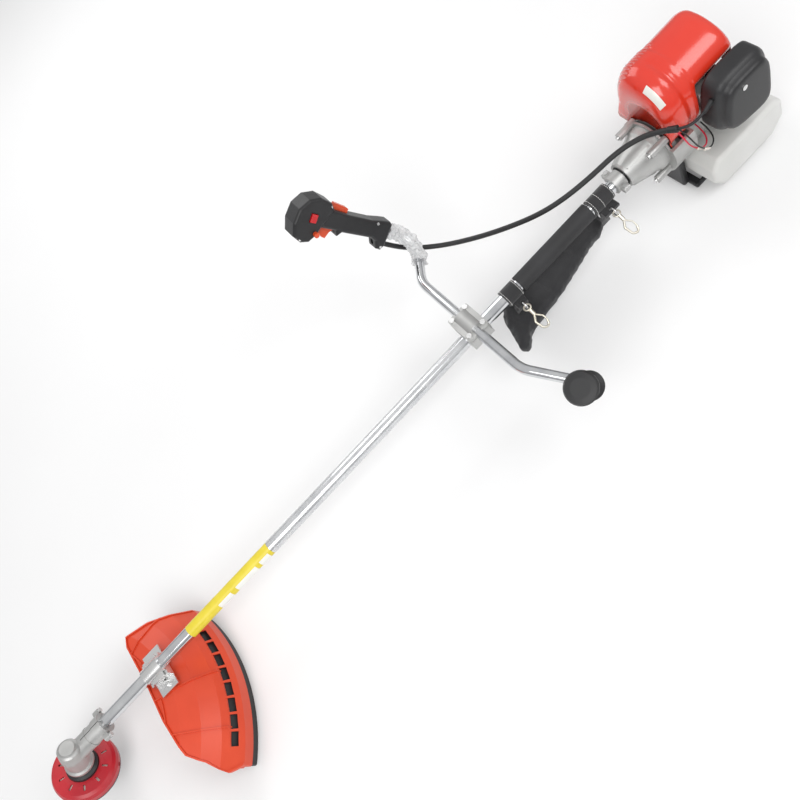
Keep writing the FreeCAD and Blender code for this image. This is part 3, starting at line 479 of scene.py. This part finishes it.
def arch_points(x, count=84):
    """The cover's outline at x: the front one turns into the rear one behind the clutch cone."""
    blend = min(max((x + 0.036) / 0.010, 0.0), 1.0)
    blend = blend * blend * (3 - 2 * blend)
    control = []
    for (y0, z0), (y1, z1) in zip(ARCH_FRONT, ARCH_REAR):
        control.append(Vector((y0 + (y1 - y0) * blend, z0 + (z1 - z0) * blend)) * MM)
    last = len(control) - 1
    points = []
    for k in range(count):
        f = k * last / (count - 1)
        cell = min(int(f), last - 1)
        t = f - cell
        a, b, c, d = (control[min(max(cell + j, 0), last)] for j in (-1, 0, 1, 2))
        points.append(0.5 * (2 * b + (c - a) * t + (2 * a - 5 * b + 4 * c - d) * t ** 2
                             + (3 * b - a - 3 * c + d) * t ** 3))
    return points


def cover_groove(x, y, z):
    # louvres on the right side and a soft valley across the crown
    sink = 0.0
    if -0.092 < x < -0.020 and y > 0.040 and z > 0.186:
        wave = math.sin(2 * math.pi * (x + 0.09 + (z - 0.23) * 0.10) / 0.0066)
        fade = min((y - 0.040) / 0.010, (z - 0.186) / 0.006, 1.0)
        sink += 0.0034 * fade * min(max(wave * 1.8 + 0.4, 0.0), 1.0)
    if y < 0.026:
        sink += 0.0030 * math.exp(-((x + 0.052) / 0.0065) ** 2) * min((0.026 - y) / 0.01, 1.0)
    return sink


def cover_ring(x, grooved=True):
    front = min((x - COVER_FRONT) / 0.036, 1.0)
    rear = min(max(COVER_REAR - x, 0.0) / 0.022, 1.0)
    shrink = (0.66 + 0.34 * math.sqrt(1 - (1 - front) ** 2)) * (0.88 + 0.12 * math.sqrt(1 - (1 - rear) ** 2))
    ring = []
    for p in arch_points(x):
        low = min(max((0.222 - p.y) / 0.04, 0.0), 1.0)
        side = shrink + (max(shrink, 0.97) - shrink) * low
        y = COVER_CENTRE.x + (p.x - COVER_CENTRE.x) * side
        z = p.y
        if z > COVER_CENTRE.y:
            z = COVER_CENTRE.y + (z - COVER_CENTRE.y) * shrink
        if grooved:
            away = (p - COVER_CENTRE).normalized() * cover_groove(x, y, z)
            y -= away.x
            z -= away.y
        ring.append(Vector((x, y, z)))
    return ring


def engine_cover_mesh():
    rings = []
    x = COVER_FRONT
    while x < COVER_REAR + 1e-6:
        rings.append(cover_ring(x))
        x += 0.0011 if x < -0.018 else 0.003
    shape = bmesh.new()
    made = [[shape.verts.new(p) for p in ring] for ring in rings]
    for low, high in zip(made, made[1:]):
        for k in range(len(low) - 1):
            shape.faces.new((low[k], low[k + 1], high[k + 1], high[k]))
    lip = []
    count = len(made[0])
    for k in range(count):
        angle = math.pi * (1 - k / (count - 1)) * 0.74 + math.pi * 0.13
        lip.append(shape.verts.new((COVER_FRONT, LIP_R * math.cos(angle), SHAFT_Z + LIP_R * math.sin(angle))))
    for k in range(count - 1):
        shape.faces.new((made[0][k + 1], made[0][k], lip[k], lip[k + 1]))
    sill = []
    for k in range(count):
        sill.append(shape.verts.new((COVER_REAR, -0.040 + 0.110 * k / (count - 1), SILL_Z)))
    for k in range(count - 1):
        shape.faces.new((made[-1][k], made[-1][k + 1], sill[k + 1], sill[k]))
    bmesh.ops.recalc_face_normals(shape, faces=shape.faces)
    mesh = bpy.data.meshes.new("engine_cover_skin")
    shape.to_mesh(mesh)
    shape.free()
    smooth(mesh)
    return mesh


cover = add_mesh("engine_cover_skin", engine_cover_mesh(), COVER, "frame", ["engine_cover"])
wall = cover.modifiers.new("wall", "SOLIDIFY")
wall.thickness = 0.0022
wall.offset = -1.0


def plate_mesh(x0, x1, low, high, lift):
    """A patch that follows the cover between two points of its outline."""
    rows = []
    for i in range(7):
        x = x0 + (x1 - x0) * i / 6
        row = []
        for p in cover_ring(x, grooved=False)[low:high + 1]:
            away = (p - Vector((0.02, 0.012, 0.196))).normalized()
            row.append(p + away * lift)
        rows.append(row)
    shape = bmesh.new()
    made = [[shape.verts.new(p) for p in row] for row in rows]
    for a, b in zip(made, made[1:]):
        for k in range(len(a) - 1):
            shape.faces.new((a[k], a[k + 1], b[k + 1], b[k]))
    bmesh.ops.recalc_face_normals(shape, faces=shape.faces)
    mesh = bpy.data.meshes.new("blank_plate")
    shape.to_mesh(mesh)
    shape.free()
    return mesh


add_mesh("blank_plate", plate_mesh(-0.093, -0.083, 28, 39, 0.0006), PLATE, "frame")


# ---------------------------------------------------------------- air filter cover

# The outline is x and z in mm; each step is a y in mm and the outline's scale there
FILTER_OUTLINE = [(-40, 176), (-20, 148), (60, 136), (82, 150), (86, 236), (70, 264), (-6, 268), (-28, 252)]
FILTER_STEPS = [(-58.5, 0.99), (-62, 1.0), (-84, 1.0), (-89, 0.985), (-93, 0.95), (-96, 0.90), (-98, 0.87),
                (-104, 0.855), (-108, 0.83), (-110.5, 0.79), (-111.8, 0.73), (-112, 0.66)]


def filter_mesh():
    """The outline with its corners cut four times, lofted through the steps."""
    outline = [Vector(p) for p in FILTER_OUTLINE]
    for _ in range(4):
        cut = []
        for a, b in zip(outline, outline[1:] + outline[:1]):
            cut.append(a * 0.8 + b * 0.2)
            cut.append(a * 0.2 + b * 0.8)
        outline = cut
    middle = Vector((24.0, 204.0))
    rings = []
    for y, scale in FILTER_STEPS:
        ring = [middle + (p - middle) * scale for p in outline]
        rings.append([Vector((q.x * MM, y * MM, q.y * MM)) for q in ring])
    return loft("air_filter_skin", rings)


add_mesh("air_filter_skin", filter_mesh(), BLACK, "frame", ["air_filter_cover"])


# ---------------------------------------------------------------- harness pad and webbing

PAD_LOW = 0.074
PAD_T = 0.026
PAD_OUTLINE = [(-0.545, -0.064), (-0.534, -0.078), (-0.500, -0.064), (-0.442, -0.056), (-0.397, -0.050),
               (-0.330, -0.034), (-0.262, -0.016), (-0.236, 0.002), (-0.234, 0.040), (-0.250, 0.060),
               (-0.300, 0.058), (-0.400, 0.056), (-0.491, 0.050), (-0.522, 0.008)]


def pad_prism():
    """The flat slab that the cloth step fills."""
    middle = Vector((-0.39, 0.0))
    shape = bmesh.new()
    low = []
    high = []
    for x, y in PAD_OUTLINE:
        p = middle + (Vector((x, y)) - middle) * 0.955
        low.append(shape.verts.new((p.x, p.y, PAD_LOW + 0.005)))
        high.append(shape.verts.new((p.x, p.y, PAD_LOW + PAD_T - 0.005)))
    shape.faces.new(low[::-1])
    shape.faces.new(high)
    for k in range(len(low)):
        m = (k + 1) % len(low)
        shape.faces.new((low[k], low[m], high[m], high[k]))
    bmesh.ops.recalc_face_normals(shape, faces=shape.faces)
    mesh = bpy.data.meshes.new("pad")
    shape.to_mesh(mesh)
    shape.free()
    return mesh


def apply_modifiers(piece):
    graph = bpy.context.evaluated_depsgraph_get()
    done = bpy.data.meshes.new_from_object(piece.evaluated_get(graph))
    piece.modifiers.clear()
    piece.data = done


def inflate(piece, cap):
    """Fill the slab as cloth under pressure, then hold it to the cap and press in its seams."""
    remesh = piece.modifiers.new("remesh", "REMESH")
    remesh.mode = "VOXEL"
    remesh.voxel_size = 0.005
    apply_modifiers(piece)
    rest = [v.co.copy() for v in piece.data.vertices]
    cloth = piece.modifiers.new("cloth", "CLOTH")
    cloth.settings.use_pressure = True
    cloth.settings.uniform_pressure_force = 4.0
    cloth.settings.effector_weights.gravity = 0.0
    scene = bpy.context.scene
    for step in range(1, 21):
        scene.frame_set(step)
    apply_modifiers(piece)
    scene.frame_set(1)
    for vertex, place in zip(piece.data.vertices, rest):
        moved = vertex.co - place
        if moved.length > cap:
            vertex.co = place + moved.normalized() * cap
        seam = abs(math.sin((vertex.co.x + 0.2 * vertex.co.y) * 38.0))
        if vertex.co.z > PAD_LOW + PAD_T / 2:
            vertex.co.z -= 0.0045 * math.exp(-(seam / 0.13) ** 2)
            vertex.co.z += 0.0012 * noise.noise(vertex.co * 34.0)
        vertex.co.z = min(vertex.co.z, PAD_LOW + PAD_T + 0.001)
    smooth(piece.data)
    rounder = piece.modifiers.new("rounder", "SUBSURF")
    rounder.levels = 1
    rounder.render_levels = 1


def ribbon(name, path, width_dir, width, thick):
    """A flat strap along a path; it is closed and has rounded edges."""
    places = [Vector(p) for p in path]
    rings = []
    for k, place in enumerate(places):
        heading = (places[min(k + 1, len(places) - 1)] - places[max(k - 1, 0)]).normalized()
        lift = heading.cross(width_dir).normalized()
        side = width_dir.normalized()
        ring = []
        for a, b in ((-0.5, -0.2), (-0.47, -0.5), (0.47, -0.5), (0.5, -0.2), (0.5, 0.2), (0.47, 0.5),
                     (-0.47, 0.5), (-0.5, 0.2)):
            ring.append(place + side * (a * width) + lift * (b * thick))
        rings.append(ring)
    return loft(name, rings)


pad = bpy.data.objects.new("harness_pad_soft", pad_prism())
bpy.context.scene.collection.objects.link(pad)
inflate(pad, 0.008)
pad.data.materials.clear()
pad.data.materials.append(PAD_CLOTH)
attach(pad, "frame")
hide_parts("harness_pad")


HANGER_R = 0.0182


def hanger(name, x, width):
    """A webbing loop under the band, with a drop to the pad on each side."""
    along = Vector((1, 0, 0))
    path = []
    for k in range(25):
        angle = math.radians(-20 - 140 * k / 24)
        path.append((x, HANGER_R * math.cos(angle), SHAFT_Z + HANGER_R * math.sin(angle)))
    add_mesh(name + "_loop", ribbon(name, path, along, width, 0.0016), WEBBING, "frame")
    for end, side in (("_left", -1), ("_right", 1)):
        drop = [(x, side * 0.0168, 0.1440), (x, side * 0.0150, 0.128), (x, side * 0.0110, 0.114),
                (x, side * 0.0125, 0.097)]
        add_mesh(name + end, ribbon(name, drop, along, width, 0.0018), WEBBING, "frame")


hanger("front_hanger", -0.469, 0.028)
hanger("rear_hanger", -0.249, 0.018)


def stitch_ring(name, x, radius, dashes=26):
    """A row of short raised stitches round a band."""
    shape = bmesh.new()
    for k in range(dashes):
        middle = 2 * math.pi * k / dashes
        made = []
        for offset, lift in ((-0.07, -0.0002), (-0.035, 0.0005), (0.035, 0.0005), (0.07, -0.0002)):
            angle = middle + offset
            reach = radius + lift
            for dx in (-0.00045, 0.00045):
                place = (x + dx, reach * math.cos(angle), SHAFT_Z + reach * math.sin(angle))
                made.append(shape.verts.new(place))
        for m in range(0, 6, 2):
            shape.faces.new((made[m], made[m + 1], made[m + 3], made[m + 2]))
    mesh = bpy.data.meshes.new(name)
    shape.to_mesh(mesh)
    shape.free()
    add_mesh(name, mesh, STITCH, "frame")


for number, x in enumerate((-0.4835, -0.4545, -0.2595, -0.2425, -0.2185)):
    stitch_ring("band_stitch_%d" % number, x, 0.0172)


# ---------------------------------------------------------------- stage, light and camera

def soft_light(name, place, target, size, power):
    light = bpy.data.lights.new(name, "AREA")
    light.size = size
    light.energy = power
    lamp = bpy.data.objects.new(name, light)
    lamp.location = place
    lamp.rotation_euler = (Vector(target) - Vector(place)).to_track_quat("-Z", "Y").to_euler()
    bpy.context.scene.collection.objects.link(lamp)


def make_floor():
    mesh = bpy.data.meshes.new("floor")
    shape = bmesh.new()
    corners = [shape.verts.new((x, y, 0.0)) for x, y in ((-9, -8), (8, -8), (8, 9), (-9, 9))]
    shape.faces.new(corners)
    shape.to_mesh(mesh)
    shape.free()
    floor = bpy.data.objects.new("floor", mesh)
    bpy.context.scene.collection.objects.link(floor)
    skin = surface("floor_paper", (0.86, 0.86, 0.86), (0.88, 0.88, 0.88), (0.85, 0.9), 0.0, 60, 0.02,
                   0.0002, 2)
    floor.data.materials.append(skin)


def make_world():
    # bright overhead, darker toward the horizon, so plated metal shows contrast
    world = bpy.data.worlds.new("studio")
    world.use_nodes = True
    tree = world.node_tree
    back = tree.nodes["Background"]
    coords = tree.nodes.new("ShaderNodeTexCoord")
    split = tree.nodes.new("ShaderNodeSeparateXYZ")
    tree.links.new(coords.outputs["Generated"], split.inputs["Vector"])
    colour = ramp_node(tree, split.outputs["Z"], [(0.0, (0.42, 0.42, 0.43)), (0.22, (0.66, 0.66, 0.67)),
                                                   (0.60, (0.98, 0.98, 0.98)), (0.95, (1.0, 1.0, 1.0))])
    tree.links.new(colour, back.inputs["Color"])
    back.inputs["Strength"].default_value = 0.7
    bpy.context.scene.world = world


def make_camera():
    x_axis = Vector((1, 0, 0))
    plane_up = Vector((0, math.sin(CAMERA_PITCH), math.cos(CAMERA_PITCH)))
    level_back = Vector((0, -math.cos(CAMERA_PITCH), math.sin(CAMERA_PITCH)))
    back = level_back * math.cos(CAMERA_YAW) + x_axis * math.sin(CAMERA_YAW)
    along = x_axis * math.cos(CAMERA_YAW) - level_back * math.sin(CAMERA_YAW)
    right = along * math.cos(CAMERA_ROLL) - plane_up * math.sin(CAMERA_ROLL)
    up = along * math.sin(CAMERA_ROLL) + plane_up * math.cos(CAMERA_ROLL)
    data = bpy.data.cameras.new("camera")
    data.lens = CAMERA_LENS
    data.sensor_width = 36.0
    camera = bpy.data.objects.new("camera", data)
    turn = Matrix((right, up, back)).transposed().to_4x4()
    camera.matrix_world = Matrix.Translation(CAMERA_AT) @ turn
    bpy.context.scene.collection.objects.link(camera)
    bpy.context.scene.camera = camera


make_floor()
make_world()
make_camera()
soft_light("key", (-1.6, -1.6, 2.4), (-0.7, 0, 0.1), 1.6, 34)
soft_light("fill", (0.8, -1.2, 2.0), (-0.2, 0, 0.15), 1.2, 18)
soft_light("rim", (-0.6, 2.0, 1.6), (-0.6, 0, 0.1), 1.6, 16)
bpy.context.scene.view_settings.view_transform = "Standard"
